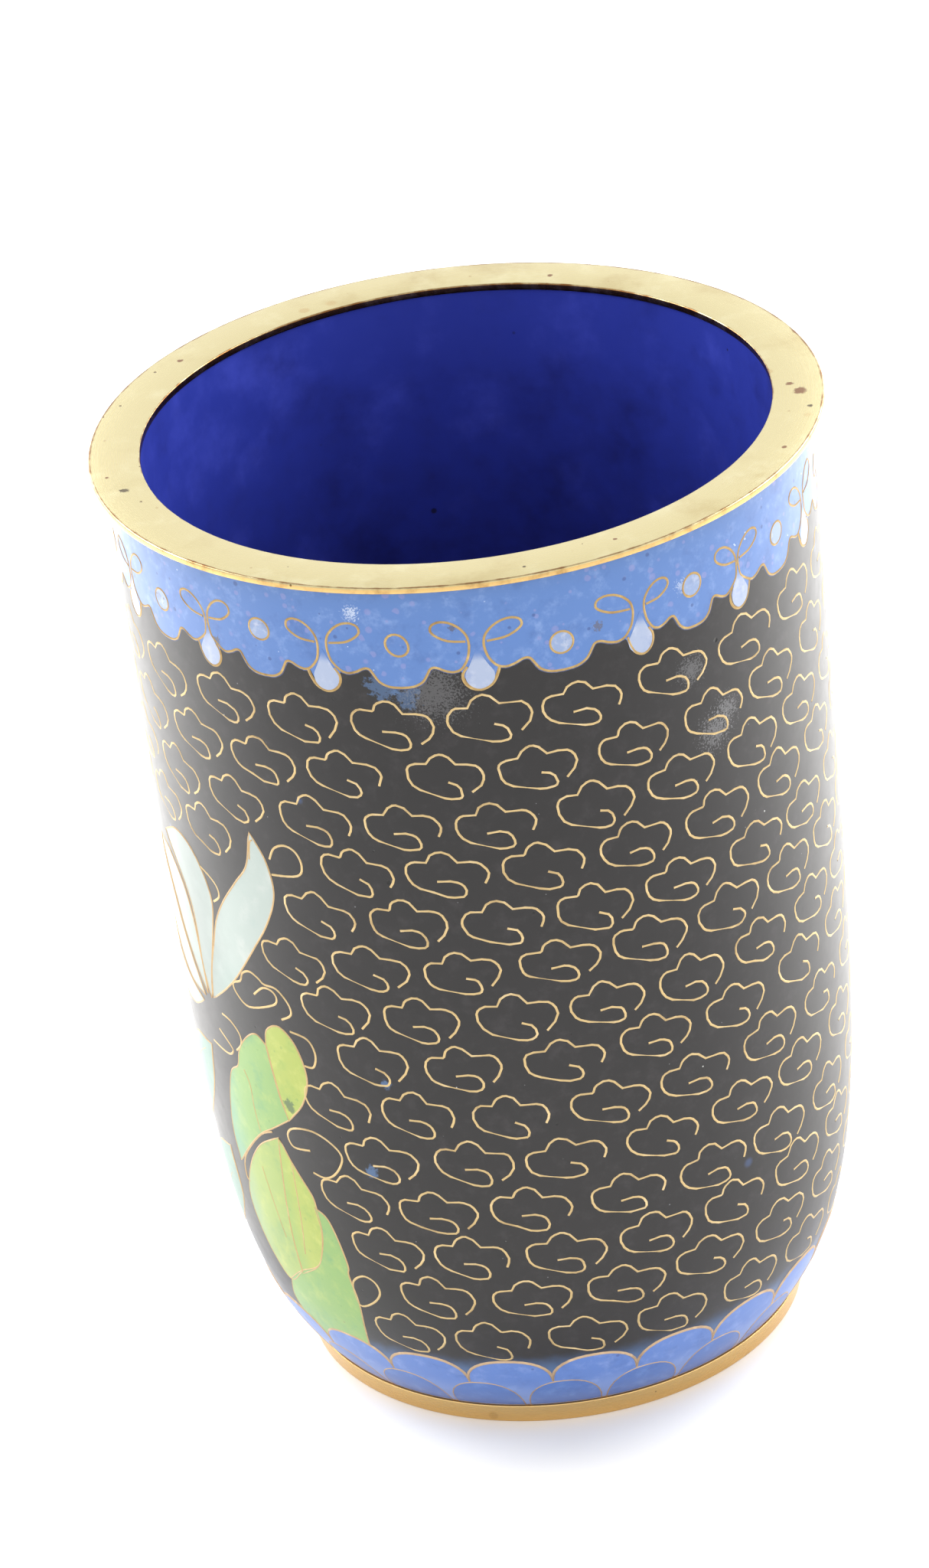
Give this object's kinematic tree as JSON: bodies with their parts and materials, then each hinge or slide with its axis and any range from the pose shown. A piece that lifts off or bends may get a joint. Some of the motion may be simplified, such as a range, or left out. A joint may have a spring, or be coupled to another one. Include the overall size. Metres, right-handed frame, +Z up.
{
  "type": "cloisonne enamel vase",
  "caption": "Small open cloisonne enamel vase with a flat brass rim, a scrolled blue collar, cloud-wire black ground, a lily spray and a blue lappet band over a short brass foot.",
  "frame": {"origin": "centre of the foot ring's underside, on the surface that the vase stands on", "axes": "+Z up along the vase's axis; -Y is the side the picture was taken from, with the lily round to -X of it"},
  "size_m": [0.046, 0.046, 0.064],
  "materials": {
    "brass": "polished brass with fine turning marks and light tarnish",
    "cobalt_lining": "gloss, deep cobalt enamel, slightly mottled",
    "base_glaze": "gloss, plain cobalt enamel",
    "collar_glaze": "gloss, fused glass ground flush and polished",
    "black_glaze": "gloss, fused glass ground flush and polished",
    "lappet_glaze": "gloss, fused glass ground flush and polished",
    "petal_glaze": "gloss, fused glass ground flush and polished",
    "yellow_green_glaze": "gloss, fused glass ground flush and polished",
    "leaf_green_glaze": "gloss, fused glass ground flush and polished",
    "deep_green_glaze": "gloss, fused glass ground flush and polished"
  },
  "bodies": {
    "root": {"metal_vessel": "brass", "lining_enamel": "cobalt_lining", "base_enamel": "base_glaze", "collar_enamel": "collar_glaze", "ground_enamel": "black_glaze", "lappet_enamel": "lappet_glaze", "lily_petal_right": "petal_glaze", "lily_petal_inner_right": "petal_glaze", "lily_petal_middle": "petal_glaze", "lily_petal_inner_left": "petal_glaze", "lily_petal_left": "petal_glaze", "upper_leaf_tip": "yellow_green_glaze", "lower_leaf_heart": "yellow_green_glaze", "upper_leaf_side": "leaf_green_glaze", "lower_leaf_side": "leaf_green_glaze", "lower_leaf_tip": "leaf_green_glaze", "left_leaf_blade": "deep_green_glaze", "left_leaf_low": "deep_green_glaze"}
  },
  "joints": []
}
